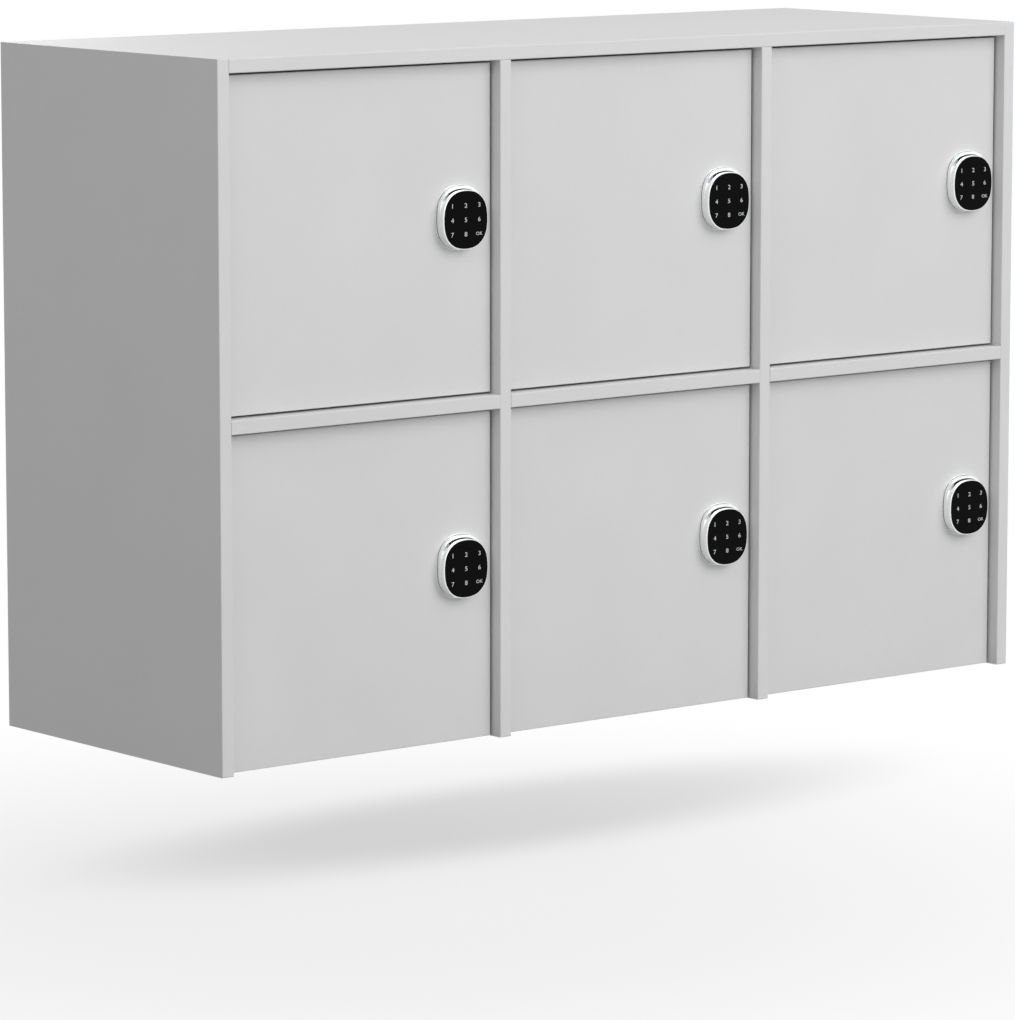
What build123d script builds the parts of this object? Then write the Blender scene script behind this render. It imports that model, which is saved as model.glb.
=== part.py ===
from build123d import *
import math
import os

# Locker top unit: three columns by two rows of inset doors, each with a keypad lock.
# Millimetres, +Z up. X runs to the right along the front, Y to the back, and the front faces -Y.
# The origin lies at the middle of the footprint, on the surface that the unit stands on.

# Carcass
CARCASS_WIDTH = 1200.0
CARCASS_DEPTH = 420.0
BAY_HEIGHT = 380.5
BOARD = 16.0
COLUMN_NAMES = ("left", "middle", "right")
ROW_NAMES = ("lower", "upper")
EDGE_ROUND = 1.2

# Back panel in its grooves
BACK_BOARD = 8.0
BACK_INSET = 10.0
GROOVE_DEPTH = 8.0
GROOVE_CLEARANCE = 0.4

# Glued dowels, made as one with the board whose end carries them
DOWEL_R = 4.0
DOWEL_BITE = 10.0
DOWEL_CLEARANCE = 0.05
DOWEL_FROM_FRONT = 64.0
DOWEL_PITCH = 224.0
DOWEL_STAGGER = 32.0

# Bores that take the base unit's dowels
BASE_BORE_R = 4.0
BASE_BORE_DEPTH = 25.0
BASE_BORE_FROM_FRONT = 50.0
BASE_BORE_PITCH = 320.0

# Doors
DOOR_BOARD = 16.0
DOOR_RECESS = 15.0
DOOR_SIDE_GAP = 2.7
DOOR_TOP_GAP = 3.0
DOOR_SHELF_GAP = 2.5
DOOR_BASE_GAP = 1.0
DOOR_EDGE_ROUND = 1.0

# Lock on the front of the door
LOCK_FROM_DOOR_EDGE = 46.5
LOCK_FROM_DOOR_BASE = 200.0
LOCK_PROJECTION = 14.0
GLASS_HALF_WIDTH = 31.0
GLASS_HALF_HEIGHT = 32.75
GLASS_THICK = 1.2
GLASS_CLEARANCE = 0.15
OVAL_CORNER_R = 25.8
OVAL_SIDE_BULGE = 0.6
OVAL_END_BULGE = 0.45
BEZEL = 1.2
BEZEL_CHAMFER = 0.7
CAP_THICK = 3.8
GRIP_WIDTH = 3.6
GRIP_DEPTH = 5.0
GRIP_HALF_WIDTH = 27.0
BASE_RISE = 4.0
FOOT_THICK = 1.6
FOOT_MARGIN = 0.9
HUB_R = 9.0
HUB_CLEARANCE = 0.3

# Lock case and bolt behind the door
CASE_LEFT = 30.0
CASE_FROM_DOOR_EDGE = 4.0
CASE_HALF_HEIGHT = 34.0
CASE_DEPTH = 22.0
CASE_ROUND = 5.0
CASE_EDGE = 1.2
BOLT_HEIGHT = 18.0
BOLT_THICK = 8.0
BOLT_LENGTH = 40.0
BOLT_SET_BACK = 7.0
BOLT_CLEARANCE = 0.15
BOLT_END_ROOM = 0.3
BOLT_NOSE = 1.5
BOLT_TRAVEL = 12.0
COVER_X = 5.0
COVER_WIDTH = 46.0
COVER_HALF_HEIGHT = 27.0
COVER_THICK = 2.0
COVER_ROUND = 3.0
COVER_CLEARANCE = 0.2
COVER_SLOT_INSET = 8.0
COVER_SLOT_LENGTH = 18.0
COVER_SLOT_WIDTH = 5.0
COVER_SLOT_DEPTH = 1.0

# Strike plate and the mortise behind it
STRIKE_THICK = 1.5
STRIKE_MARGIN_Z = 16.0
STRIKE_MARGIN_Y = 4.0
STRIKE_CLEARANCE = 0.8
STRIKE_ROUND = 3.0
MORTISE_DEPTH = 8.0

# Concealed hinges, each with one pivot and a hooked arm
HINGE_FROM_DOOR_END = 80.0
CUP_R = 17.5
CUP_DEPTH = 11.5
CUP_WALL = 1.2
CUP_CLEARANCE = 0.1
CUP_FLOOR_ROOM = 0.5
CUP_EDGE_DISTANCE = 4.0
FLANGE_THICK = 1.0
FLANGE_LIP = 1.5
FLANGE_WIDTH = 14.0
FLANGE_LENGTH = 62.0
FLANGE_ROUND = 5.0
FLANGE_OFFSET = 9.5
CUP_SCREW_SPACING = 45.0
SCREW_HOLE_R = 2.1
PIN_R = 1.5
PIVOT_CLEARANCE = 0.05
PIN_SEAT_CLEARANCE = 0.02
KNUCKLE_R = 2.4
PIVOT_FROM_DOOR_EDGE = 17.3
PIVOT_FROM_DOOR_FACE = 8.5
ARM_THICK = 2.4
ARM_HALF_WIDTH = 6.5
ARM_REACH_IN_CUP = 11.7
ARM_RISE_IN_CUP = 3.7
ARM_REACH_AT_RIM = 17.2
ARM_RISE_AT_RIM = 10.3
ARM_RISE_BEHIND_DOOR = 25.0
ARM_TAIL_START = 62.0
ARM_TAIL_LENGTH = 38.0
ARM_FLANGE = 1.2
ARM_FLANGE_REACH = 3.0
ARM_SLOT_LENGTH = 10.0
ARM_SLOT_WIDTH = 4.6
ARM_SLOT_INSET = 12.0
PLATE_START = 56.0
PLATE_LENGTH = 50.0
RAIL_HEIGHT = 6.0
RAIL_HALF_WIDTH = 6.8
RAIL_CLEARANCE = 0.2
WING_THICK = 2.5
WING_LENGTH = 18.0
WING_WIDTH = 48.0
WING_ROUND = 6.0
WING_INSET = 3.0
PLATE_SCREW_SPACING = 32.0

# Values that follow from the sizes above
UPRIGHT_COUNT = len(COLUMN_NAMES) + 1
BAY_WIDTH = (CARCASS_WIDTH - UPRIGHT_COUNT * BOARD) / len(COLUMN_NAMES)
CARCASS_HEIGHT = len(ROW_NAMES) * (BAY_HEIGHT + BOARD)
TOP_UNDERSIDE = CARCASS_HEIGHT - BOARD
FRONT = -CARCASS_DEPTH / 2
BACK_FACE = CARCASS_DEPTH / 2 - BACK_INSET - BACK_BOARD
GROOVE_TOP = TOP_UNDERSIDE + GROOVE_DEPTH
DOOR_WIDTH = BAY_WIDTH - 2 * DOOR_SIDE_GAP
DOOR_FRONT = FRONT + DOOR_RECESS
DOOR_BACK = DOOR_FRONT + DOOR_BOARD
LOCK_X = DOOR_SIDE_GAP + DOOR_WIDTH - LOCK_FROM_DOOR_EDGE
CASE_RIGHT = LOCK_FROM_DOOR_EDGE - CASE_FROM_DOOR_EDGE
BOLT_Y = DOOR_BACK + BOLT_SET_BACK + BOLT_THICK / 2
CUP_FROM_EDGE = CUP_EDGE_DISTANCE + CUP_R
PIVOT = (DOOR_SIDE_GAP + PIVOT_FROM_DOOR_EDGE, DOOR_RECESS + PIVOT_FROM_DOOR_FACE)
ARM_BACK = PLATE_START + PLATE_LENGTH


def block(x0, x1, y0, y1, z0, z1):
    """A box between two corners."""
    return Pos((x0 + x1) / 2, (y0 + y1) / 2, (z0 + z1) / 2) * Box(x1 - x0, y1 - y0, z1 - z0)


def rod_x(radius, x0, x1, y, z):
    """A round bar along X."""
    return Pos((x0 + x1) / 2, y, z) * Rot(0, 90, 0) * Cylinder(radius, x1 - x0)


def rod_y(radius, x, y0, y1, z):
    """A round bar along Y."""
    return Pos(x, (y0 + y1) / 2, z) * Rot(90, 0, 0) * Cylinder(radius, y1 - y0)


def rod_z(radius, x, y, z0, z1):
    """A round bar along Z."""
    return Pos(x, y, (z0 + z1) / 2) * Cylinder(radius, z1 - z0)


def upright_left(index):
    """The X of an upright board's left face, counted from the left side panel."""
    return -CARCASS_WIDTH / 2 + index * (BAY_WIDTH + BOARD)


def bay_left(column):
    return upright_left(column) + BOARD


def bay_right(column):
    return upright_left(column + 1)


def bay_floor(row):
    return row * (BAY_HEIGHT + BOARD)


def dowel_ys(stagger=0.0):
    """The places of a joint's dowels along the depth."""
    first = FRONT + DOWEL_FROM_FRONT + stagger
    return (first, first + DOWEL_PITCH)


def shelf_middle():
    return BAY_HEIGHT + BOARD / 2


def door_base(row):
    gap = DOOR_BASE_GAP if row == 0 else DOOR_SHELF_GAP
    return bay_floor(row) + gap


def door_top(row):
    return bay_floor(row) + BAY_HEIGHT - DOOR_TOP_GAP


def lock_height(row):
    return door_base(row) + LOCK_FROM_DOOR_BASE


def hinge_heights(row):
    return (door_base(row) + HINGE_FROM_DOOR_END, door_top(row) - HINGE_FROM_DOOR_END)


def round_front_edges(board, radius):
    """Round a board's two or more long edges on its foremost face."""
    return fillet(board.faces().sort_by(Axis.Y)[0].edges(), radius)


def strike_slot(x0, x1, row):
    """The slot that the bolt enters, as a solid between two values of X."""
    half_y = BOLT_THICK / 2 + STRIKE_CLEARANCE
    half_z = BOLT_HEIGHT / 2 + STRIKE_CLEARANCE
    z = lock_height(row)
    return block(x0, x1, BOLT_Y - half_y, BOLT_Y + half_y, z - half_z, z + half_z)


def upright(index):
    """A side panel or divider, with its groove, dowel bores and mortises."""
    x0 = upright_left(index)
    x1 = x0 + BOARD
    outer = index in (0, UPRIGHT_COUNT - 1)
    if outer:
        board = block(x0, x1, FRONT, -FRONT, 0, CARCASS_HEIGHT)
    else:
        board = block(x0, x1, FRONT, BACK_FACE, 0, TOP_UNDERSIDE)
    board = round_front_edges(board, EDGE_ROUND)
    bore_r = DOWEL_R + DOWEL_CLEARANCE
    end_room = DOWEL_BITE + DOWEL_CLEARANCE
    if outer:
        inner = x1 if index == 0 else x0
        inward = -1 if index == 0 else 1
        near, far = sorted((inner, inner + inward * GROOVE_DEPTH))
        board -= block(near, far, BACK_FACE, BACK_FACE + BACK_BOARD, 0, GROOVE_TOP)
        near, far = sorted((inner, inner + inward * end_room))
        for y in dowel_ys():
            board -= rod_x(bore_r, near, far, y, CARCASS_HEIGHT - BOARD / 2)
        for step in (0, 1):
            y = FRONT + BASE_BORE_FROM_FRONT + step * BASE_BORE_PITCH
            board -= rod_z(BASE_BORE_R, (x0 + x1) / 2, y, 0, BASE_BORE_DEPTH)
    else:
        for y in dowel_ys():
            board += rod_z(DOWEL_R, (x0 + x1) / 2, y, TOP_UNDERSIDE, TOP_UNDERSIDE + DOWEL_BITE)
    if index < UPRIGHT_COUNT - 1:
        for y in dowel_ys():
            board -= rod_x(bore_r, x1 - end_room, x1, y, shelf_middle())
    if index > 0:
        for y in dowel_ys(DOWEL_STAGGER):
            board -= rod_x(bore_r, x0, x0 + end_room, y, shelf_middle())
        for row in range(len(ROW_NAMES)):
            board -= strike_slot(x0, x0 + MORTISE_DEPTH, row)
    return board


def top_panel():
    """The top board between the side panels, with dowels in its ends."""
    x0 = bay_left(0)
    x1 = bay_right(len(COLUMN_NAMES) - 1)
    board = block(x0, x1, FRONT, -FRONT, TOP_UNDERSIDE, CARCASS_HEIGHT)
    board = fillet(board.faces().sort_by(Axis.Y)[0].edges().filter_by(Axis.X), EDGE_ROUND)
    board -= block(x0, x1, BACK_FACE, BACK_FACE + BACK_BOARD, TOP_UNDERSIDE, GROOVE_TOP)
    middle = CARCASS_HEIGHT - BOARD / 2
    for y in dowel_ys():
        board += rod_x(DOWEL_R, x0 - DOWEL_BITE, x0, y, middle)
        board += rod_x(DOWEL_R, x1, x1 + DOWEL_BITE, y, middle)
        for index in range(1, UPRIGHT_COUNT - 1):
            x = upright_left(index) + BOARD / 2
            bore_top = TOP_UNDERSIDE + DOWEL_BITE + DOWEL_CLEARANCE
            board -= rod_z(DOWEL_R + DOWEL_CLEARANCE, x, y, TOP_UNDERSIDE, bore_top)
    return board


def shelf(column):
    """A shelf between two uprights, with dowels in its ends."""
    x0 = bay_left(column)
    x1 = bay_right(column)
    board = block(x0, x1, FRONT, BACK_FACE, BAY_HEIGHT, BAY_HEIGHT + BOARD)
    board = fillet(board.faces().sort_by(Axis.Y)[0].edges().filter_by(Axis.X), EDGE_ROUND)
    for y in dowel_ys():
        board += rod_x(DOWEL_R, x0 - DOWEL_BITE, x0, y, shelf_middle())
    for y in dowel_ys(DOWEL_STAGGER):
        board += rod_x(DOWEL_R, x1, x1 + DOWEL_BITE, y, shelf_middle())
    return board


def back_panel():
    """The thin back board, held in the grooves of the side panels and the top."""
    reach = GROOVE_DEPTH - GROOVE_CLEARANCE
    x0 = bay_left(0) - reach
    x1 = bay_right(len(COLUMN_NAMES) - 1) + reach
    return block(x0, x1, BACK_FACE, BACK_FACE + BACK_BOARD, 0, GROOVE_TOP - GROOVE_CLEARANCE)


def oval(margin=0.0, rise=0.0, lift=0.0):
    """The lock's outline in the X-Z plane: flat arcs and corner arcs that run smoothly into each other.

    It is the glass's outline grown by a margin. Its upper half is taller by a rise, and a lift moves it all.
    """
    upper = oval_quarter(margin, rise)
    lower = oval_quarter(margin, 0.0)
    half = upper + [Vector(-p.X, p.Y) for p in reversed(upper[:-1])]
    ring = half + [Vector(-p.X, -p.Y) for p in lower[1:]] + [Vector(p.X, -p.Y) for p in reversed(lower[1:-1])]
    return Pos(0, lift) * make_face(oval_arcs(ring))


def oval_quarter(margin, rise):
    """Points on the outline from its right side to its top: two ends and a middle for each arc."""
    width = GLASS_HALF_WIDTH + margin
    height = GLASS_HALF_HEIGHT + margin + rise
    radius = OVAL_CORNER_R + margin
    corner = Vector(GLASS_HALF_WIDTH - OVAL_CORNER_R - OVAL_SIDE_BULGE,
                    GLASS_HALF_HEIGHT + rise - OVAL_CORNER_R - OVAL_END_BULGE)
    side_r = large_radius(width - corner.X, corner.Y, radius)
    end_r = large_radius(height - corner.Y, corner.X, radius)
    side = Vector(width - side_r, 0)
    end = Vector(0, height - end_r)
    near = on_circle(side, side_r, corner)
    far = on_circle(end, end_r, corner)
    return [Vector(width, 0), on_circle(side, side_r, (Vector(width, 0) + near) / 2), near,
            on_circle(corner, radius, (near + far) / 2), far,
            on_circle(end, end_r, (far + Vector(0, height)) / 2), Vector(0, height)]


def on_circle(centre, radius, towards):
    """The point of a circle that lies towards another point."""
    return centre + (towards - centre).normalized() * radius


def oval_arcs(ring):
    """Arcs through a closed ring of points, each through three of them."""
    return [ThreePointArc(ring[i], ring[i + 1], ring[(i + 2) % len(ring)]) for i in range(0, len(ring), 2)]


def large_radius(reach, offset, radius):
    """The radius of the flat arc that runs into a corner arc, from the corner's distance to the outline."""
    return (reach ** 2 + offset ** 2 - radius ** 2) / (2 * (reach - radius))


def oval_slab(face, start, end):
    """An oval made solid between two distances in front of the door."""
    return extrude(Plane.XZ.offset(start) * face, end - start)


def lock_place(column, row, y):
    return Pos(bay_left(column) + LOCK_X, y, lock_height(row))


def lock_housing():
    """The moulded housing: foot, body, finger groove on top, cap with the glass's seat, and hub."""
    groove_start = LOCK_PROJECTION - CAP_THICK - GRIP_WIDTH
    groove_end = LOCK_PROJECTION - CAP_THICK
    cap = oval_slab(oval(BEZEL), groove_start, LOCK_PROJECTION)
    cap = chamfer(cap.faces().sort_by(Axis.Y)[0].edges(), BEZEL_CHAMFER)
    around = oval_slab(oval(BEZEL + GRIP_DEPTH), groove_start, groove_end)
    kept = oval_slab(oval(BEZEL, lift=-GRIP_DEPTH), groove_start, groove_end)
    cap -= (around - kept) & finger_room(groove_start, groove_end)
    foot = oval_slab(oval(BEZEL + FOOT_MARGIN, BASE_RISE), 0, FOOT_THICK)
    base = oval_slab(oval(BEZEL, BASE_RISE), FOOT_THICK, groove_start)
    seat = oval_slab(oval(GLASS_CLEARANCE), LOCK_PROJECTION - GLASS_THICK, LOCK_PROJECTION)
    return foot + base + cap - seat + rod_y(HUB_R, 0, 0, DOOR_BOARD, 0)


def finger_room(start, end):
    """The width of the finger groove, open at the top."""
    top = GLASS_HALF_HEIGHT + 2 * GRIP_DEPTH
    return block(-GRIP_HALF_WIDTH, GRIP_HALF_WIDTH, -end, -start, 0, top)


def lock_keypad():
    """The touch glass in its seat."""
    return oval_slab(oval(), LOCK_PROJECTION - GLASS_THICK, LOCK_PROJECTION)


def lock_case():
    """The closed case behind the door, with the bolt's channel. Its origin is on the door's back face."""
    case = block(-CASE_LEFT, CASE_RIGHT, 0, CASE_DEPTH, -CASE_HALF_HEIGHT, CASE_HALF_HEIGHT)
    case = fillet(case.edges().filter_by(Axis.Y), CASE_ROUND)
    case = chamfer(case.faces().sort_by(Axis.Y)[-1].edges(), CASE_EDGE)
    half_y = BOLT_THICK / 2 + BOLT_CLEARANCE
    half_z = BOLT_HEIGHT / 2 + BOLT_CLEARANCE
    y = BOLT_SET_BACK + BOLT_THICK / 2
    inner_end = CASE_RIGHT - BOLT_LENGTH - BOLT_END_ROOM
    case -= block(inner_end, CASE_RIGHT, y - half_y, y + half_y, -half_z, half_z)
    return case - cover_plate(COVER_CLEARANCE)


def cover_plate(growth):
    """The battery cover's plate in the case's back, grown all round by a clearance."""
    half = COVER_HALF_HEIGHT + growth
    x0, x1 = COVER_X - COVER_WIDTH / 2 - growth, COVER_X + COVER_WIDTH / 2 + growth
    plate = block(x0, x1, CASE_DEPTH - COVER_THICK, CASE_DEPTH, -half, half)
    return fillet(plate.edges().filter_by(Axis.Y), COVER_ROUND)


def battery_cover():
    """The cover over the batteries, with a thumb slot to slide it off."""
    slot = Plane.XZ.offset(-CASE_DEPTH) * Pos(COVER_X, COVER_HALF_HEIGHT - COVER_SLOT_INSET) \
        * SlotOverall(COVER_SLOT_LENGTH, COVER_SLOT_WIDTH)
    return cover_plate(0) - extrude(slot, COVER_SLOT_DEPTH)


def lock_bolt():
    """The bolt, drawn back flush with the case's right side. Its origin is on the door's back face."""
    y = BOLT_SET_BACK
    bolt = block(CASE_RIGHT - BOLT_LENGTH, CASE_RIGHT, y, y + BOLT_THICK, -BOLT_HEIGHT / 2, BOLT_HEIGHT / 2)
    return chamfer(bolt.faces().sort_by(Axis.X)[-1].edges().filter_by(Axis.Z), BOLT_NOSE)


def strike_plate(column, row):
    """A plate on the panel at the bay's right, with the bolt's slot."""
    x1 = bay_right(column)
    x0 = x1 - STRIKE_THICK
    half_y = BOLT_THICK / 2 + STRIKE_MARGIN_Y
    half_z = BOLT_HEIGHT / 2 + STRIKE_MARGIN_Z
    z = lock_height(row)
    plate = block(x0, x1, BOLT_Y - half_y, BOLT_Y + half_y, z - half_z, z + half_z)
    plate = fillet(plate.edges().filter_by(Axis.X), STRIKE_ROUND)
    return plate - strike_slot(x0, x1, row)


def door(column, row):
    """A door panel with its bores for the hinge cups and the lock's hub."""
    x0 = bay_left(column) + DOOR_SIDE_GAP
    panel = block(x0, x0 + DOOR_WIDTH, DOOR_FRONT, DOOR_BACK, door_base(row), door_top(row))
    panel = round_front_edges(panel, DOOR_EDGE_ROUND)
    for z in hinge_heights(row):
        bore_floor = DOOR_BACK - CUP_DEPTH - CUP_FLOOR_ROOM
        panel -= rod_y(CUP_R + CUP_CLEARANCE, x0 + CUP_FROM_EDGE, bore_floor, DOOR_BACK, z)
    return panel - rod_y(HUB_R + HUB_CLEARANCE, bay_left(column) + LOCK_X, DOOR_FRONT, DOOR_BACK, lock_height(row))


def hinge_place(column, z):
    """Where a hinge's own origin lies: the corner of panel and carcass front, at the hinge's height."""
    return Pos(bay_left(column), FRONT, z)


def bent_bar(points, width, low, high):
    """A flat bar with round ends through points in plan, between two heights."""
    bar = None
    for start, end in zip(points, points[1:]):
        angle = math.degrees(math.atan2(end[1] - start[1], end[0] - start[0]))
        leg = SlotCenterToCenter(math.dist(start, end), width)
        leg = Pos((start[0] + end[0]) / 2, (start[1] + end[1]) / 2) * Rot(0, 0, angle) * leg
        bar = leg if bar is None else bar + leg
    return Pos(0, 0, low) * extrude(bar, high - low)


def pivot_rod(radius, half_length):
    """A round bar on the hinge's axis."""
    return rod_z(radius, *PIVOT, -half_length, half_length)


def cup_centre():
    return DOOR_SIDE_GAP + CUP_FROM_EDGE


def pin_half_length():
    """Half the pin's length: the cup's width at the pivot, so that its ends lie inside the cup's wall."""
    offset = cup_centre() - PIVOT[0]
    return math.sqrt((CUP_R - CUP_WALL / 2) ** 2 - (abs(offset) + PIN_R) ** 2)


def hinge_cup():
    """The pressed cup with its screw flange, bored for the pin."""
    back = DOOR_RECESS + DOOR_BOARD
    x = cup_centre()
    ears = Plane.XZ * RectangleRounded(FLANGE_WIDTH, FLANGE_LENGTH, FLANGE_ROUND)
    ears = Pos(x + FLANGE_OFFSET, back + FLANGE_THICK, 0) * extrude(ears, FLANGE_THICK)
    cup = rod_y(CUP_R, x, back - CUP_DEPTH, back, 0) + ears
    cup += rod_y(CUP_R + FLANGE_LIP, x, back, back + FLANGE_THICK, 0)
    cup -= rod_y(CUP_R - CUP_WALL, x, back - CUP_DEPTH + CUP_WALL, back + FLANGE_THICK, 0)
    for z in (-CUP_SCREW_SPACING / 2, CUP_SCREW_SPACING / 2):
        cup -= rod_y(SCREW_HOLE_R, x + FLANGE_OFFSET, back, back + FLANGE_THICK, z)
    return cup - pivot_rod(PIN_R + PIN_SEAT_CLEARANCE, pin_half_length())


def hinge_pin():
    return pivot_rod(PIN_R, pin_half_length())


def hinge_arm():
    """The arm: a knuckle round the pin, a hook over the cup's rim, and a channel over the mounting rail."""
    x, y = PIVOT
    end = ARM_TAIL_START + ARM_TAIL_LENGTH
    points = [PIVOT, (x + ARM_REACH_IN_CUP, y + ARM_RISE_IN_CUP), (x + ARM_REACH_AT_RIM, y + ARM_RISE_AT_RIM),
              (x + ARM_REACH_AT_RIM, y + ARM_RISE_BEHIND_DOOR), (RAIL_HEIGHT + ARM_THICK / 2, ARM_TAIL_START)]
    arm = bent_bar(points, ARM_THICK, -ARM_HALF_WIDTH, ARM_HALF_WIDTH) + pivot_rod(KNUCKLE_R, ARM_HALF_WIDTH)
    arm -= pivot_rod(PIN_R + PIVOT_CLEARANCE, ARM_HALF_WIDTH)
    inside = RAIL_HALF_WIDTH + RAIL_CLEARANCE
    outside = inside + ARM_FLANGE
    channel = block(RAIL_HEIGHT - ARM_FLANGE_REACH, RAIL_HEIGHT + ARM_THICK, ARM_TAIL_START, end, -outside, outside)
    channel -= block(RAIL_HEIGHT - ARM_FLANGE_REACH, RAIL_HEIGHT, ARM_TAIL_START, end, -inside, inside)
    slot = Pos(RAIL_HEIGHT, end - ARM_SLOT_INSET, 0) * Rot(0, 90, 0) * Rot(0, 0, 90) \
        * extrude(SlotOverall(ARM_SLOT_LENGTH, ARM_SLOT_WIDTH), ARM_THICK)
    return arm + channel - slot


def hinge_plate():
    """The mounting plate on the panel's face: a rail that carries the arm, and a wing with its screw holes."""
    half = WING_WIDTH / 2
    start = PLATE_START + WING_INSET
    wing = block(0, WING_THICK, start, start + WING_LENGTH, -half, half)
    wing = fillet(wing.edges().filter_by(Axis.X), WING_ROUND)
    for z in (-PLATE_SCREW_SPACING / 2, PLATE_SCREW_SPACING / 2):
        wing -= rod_x(SCREW_HOLE_R, 0, WING_THICK, start + WING_LENGTH / 2, z)
    end = PLATE_START + PLATE_LENGTH
    return wing + block(0, RAIL_HEIGHT, PLATE_START, end, -RAIL_HALF_WIDTH, RAIL_HALF_WIDTH)


def at_hinges(column, row, shape):
    """Copies of a hinge piece at a door's two hinges."""
    return [hinge_place(column, z) * shape for z in hinge_heights(row)]


def bays():
    return [(column, row) for row in range(len(ROW_NAMES)) for column in range(len(COLUMN_NAMES))]


def write(name, solids):
    """Write one node, made of one or more solids."""
    shape = solids[0] if len(solids) == 1 else Compound(children=list(solids))
    export_step(shape, f"parts/{name}.step")
    print(name, len(solids))


def write_carcass():
    uprights = ["side_panel_left", "divider_left", "divider_right", "side_panel_right"]
    for index, name in enumerate(uprights):
        write(name, [upright(index)])
    write("top_panel", [top_panel()])
    write("back_panel", [back_panel()])
    for column, name in enumerate(COLUMN_NAMES):
        write(f"shelf_{name}", [shelf(column)])
    arm, plate = hinge_arm(), hinge_plate()
    write("hinge_arms", [copy for column, row in bays() for copy in at_hinges(column, row, arm)])
    write("hinge_plates", [copy for column, row in bays() for copy in at_hinges(column, row, plate)])
    write("strike_plates", [strike_plate(column, row) for column, row in bays()])


def write_doors():
    cup, hinge_rod = hinge_cup(), hinge_pin()
    housing, keypad, case, cover, bolt = lock_housing(), lock_keypad(), lock_case(), battery_cover(), lock_bolt()
    for column, row in bays():
        key = f"{ROW_NAMES[row]}_{COLUMN_NAMES[column]}"
        front = lock_place(column, row, DOOR_FRONT)
        behind = lock_place(column, row, DOOR_BACK)
        write(f"door_{key}", [door(column, row)])
        write(f"hinge_cups_{key}", at_hinges(column, row, cup))
        write(f"hinge_pins_{key}", at_hinges(column, row, hinge_rod))
        write(f"lock_housing_{key}", [front * housing])
        write(f"lock_keypad_{key}", [front * keypad])
        write(f"lock_case_{key}", [behind * case])
        write(f"battery_cover_{key}", [behind * cover])
        write(f"lock_bolt_{key}", [behind * bolt])


os.makedirs("parts", exist_ok=True)
write_carcass()
write_doors()
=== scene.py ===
# %% [markdown]
# Locker top unit.
# The real object is a cabinet of melamine-faced chipboard: two side panels, two dividers, a top, three
# shelves and a thin back. Six inset doors hang on concealed cup hinges, and each has an oval keypad lock.
# The construction comes ready made from the CAD frame. This lesson gives it its finishes, adds the small
# things that are printed on it or screwed to it, and lights it like the photograph.

# %% Load the frame
import bmesh
import bpy
import math
from mathutils import Matrix, Vector


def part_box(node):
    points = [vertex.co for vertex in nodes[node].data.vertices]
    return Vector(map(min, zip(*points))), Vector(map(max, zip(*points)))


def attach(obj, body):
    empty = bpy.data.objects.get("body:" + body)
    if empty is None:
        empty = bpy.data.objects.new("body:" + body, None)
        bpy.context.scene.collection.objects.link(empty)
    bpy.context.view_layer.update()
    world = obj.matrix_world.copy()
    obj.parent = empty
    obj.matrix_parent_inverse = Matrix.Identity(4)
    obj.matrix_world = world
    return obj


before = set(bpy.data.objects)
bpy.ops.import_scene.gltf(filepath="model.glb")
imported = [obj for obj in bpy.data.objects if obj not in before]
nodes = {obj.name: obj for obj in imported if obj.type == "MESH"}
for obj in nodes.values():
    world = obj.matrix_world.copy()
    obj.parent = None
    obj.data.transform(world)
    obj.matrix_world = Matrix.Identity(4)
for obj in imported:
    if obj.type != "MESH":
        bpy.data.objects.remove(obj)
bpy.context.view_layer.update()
MM = 0.001
COLUMNS = ("left", "middle", "right")
ROWS = ("lower", "upper")
KEYS = [f"{row}_{column}" for row in ROWS for column in COLUMNS]


# %% [markdown]
# The camera. The photograph was taken from the left and a little above, with a long lens, so its lines run
# almost parallel. The viewpoint was found by fitting measured corners. The original keeps its upright lines
# parallel with a strong lens shift. Here the camera is tilted down instead, because a large shift would
# spoil every other view, and the uprights near the sides then lean by about one pixel in a hundred.

# %% Camera
CAMERA_PLACE = Vector((-4147.29, -5089.14, 1158.71)) * MM
CAMERA_TURN = math.radians(39.0086)
CAMERA_FALL = math.radians(8.1165)
SENSOR_WIDTH, LENS_LENGTH = 36.0, 195.866
FARTHEST_SEEN = 100.0

camera_data = bpy.data.cameras.new("camera")
camera_data.sensor_width = SENSOR_WIDTH
camera_data.lens = LENS_LENGTH
camera_data.clip_end = FARTHEST_SEEN
camera = bpy.data.objects.new("camera", camera_data)
bpy.context.scene.collection.objects.link(camera)
camera.location = CAMERA_PLACE
camera.rotation_euler = (math.pi / 2 - CAMERA_FALL, 0, -CAMERA_TURN)
bpy.context.scene.camera = camera
print("camera", tuple(round(v, 3) for v in camera.location))


# %% [markdown]
# Colours are written as the hex values that a screen shows. Shaders work with linear light, so one function
# turns a hex value to linear.

# %% Colour helper
def linear(hex_colour):
    """An sRGB hex colour as linear red, green, blue and alpha."""
    channels = [int(hex_colour[i:i + 2], 16) / 255 for i in (1, 3, 5)]
    return (*[c / 12.92 if c <= 0.04045 else ((c + 0.055) / 1.055) ** 2.4 for c in channels], 1.0)


print("mid grey", round(linear("#808080")[0], 3))


# %% [markdown]
# Every finish is a small network of nodes. One function adds a node, sets its properties and sockets, and
# links what feeds it. A socket that is given another node's output is linked, and anything else is a value.

# %% Node helper
def add(tree, kind, settings=None, **sockets):
    """Add a node. Sockets are values or outputs, by input name with _ for a space, or n0, n1 by number."""
    made = tree.nodes.new(kind)
    for name, value in (settings or {}).items():
        setattr(made, name, value)
    for name, value in sockets.items():
        key = int(name[1:]) if name[0] == "n" and name[1:].isdigit() else name.replace("_", " ")
        if isinstance(value, bpy.types.NodeSocket):
            tree.links.new(value, made.inputs[key])
        else:
            made.inputs[key].default_value = value
    return made


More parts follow.
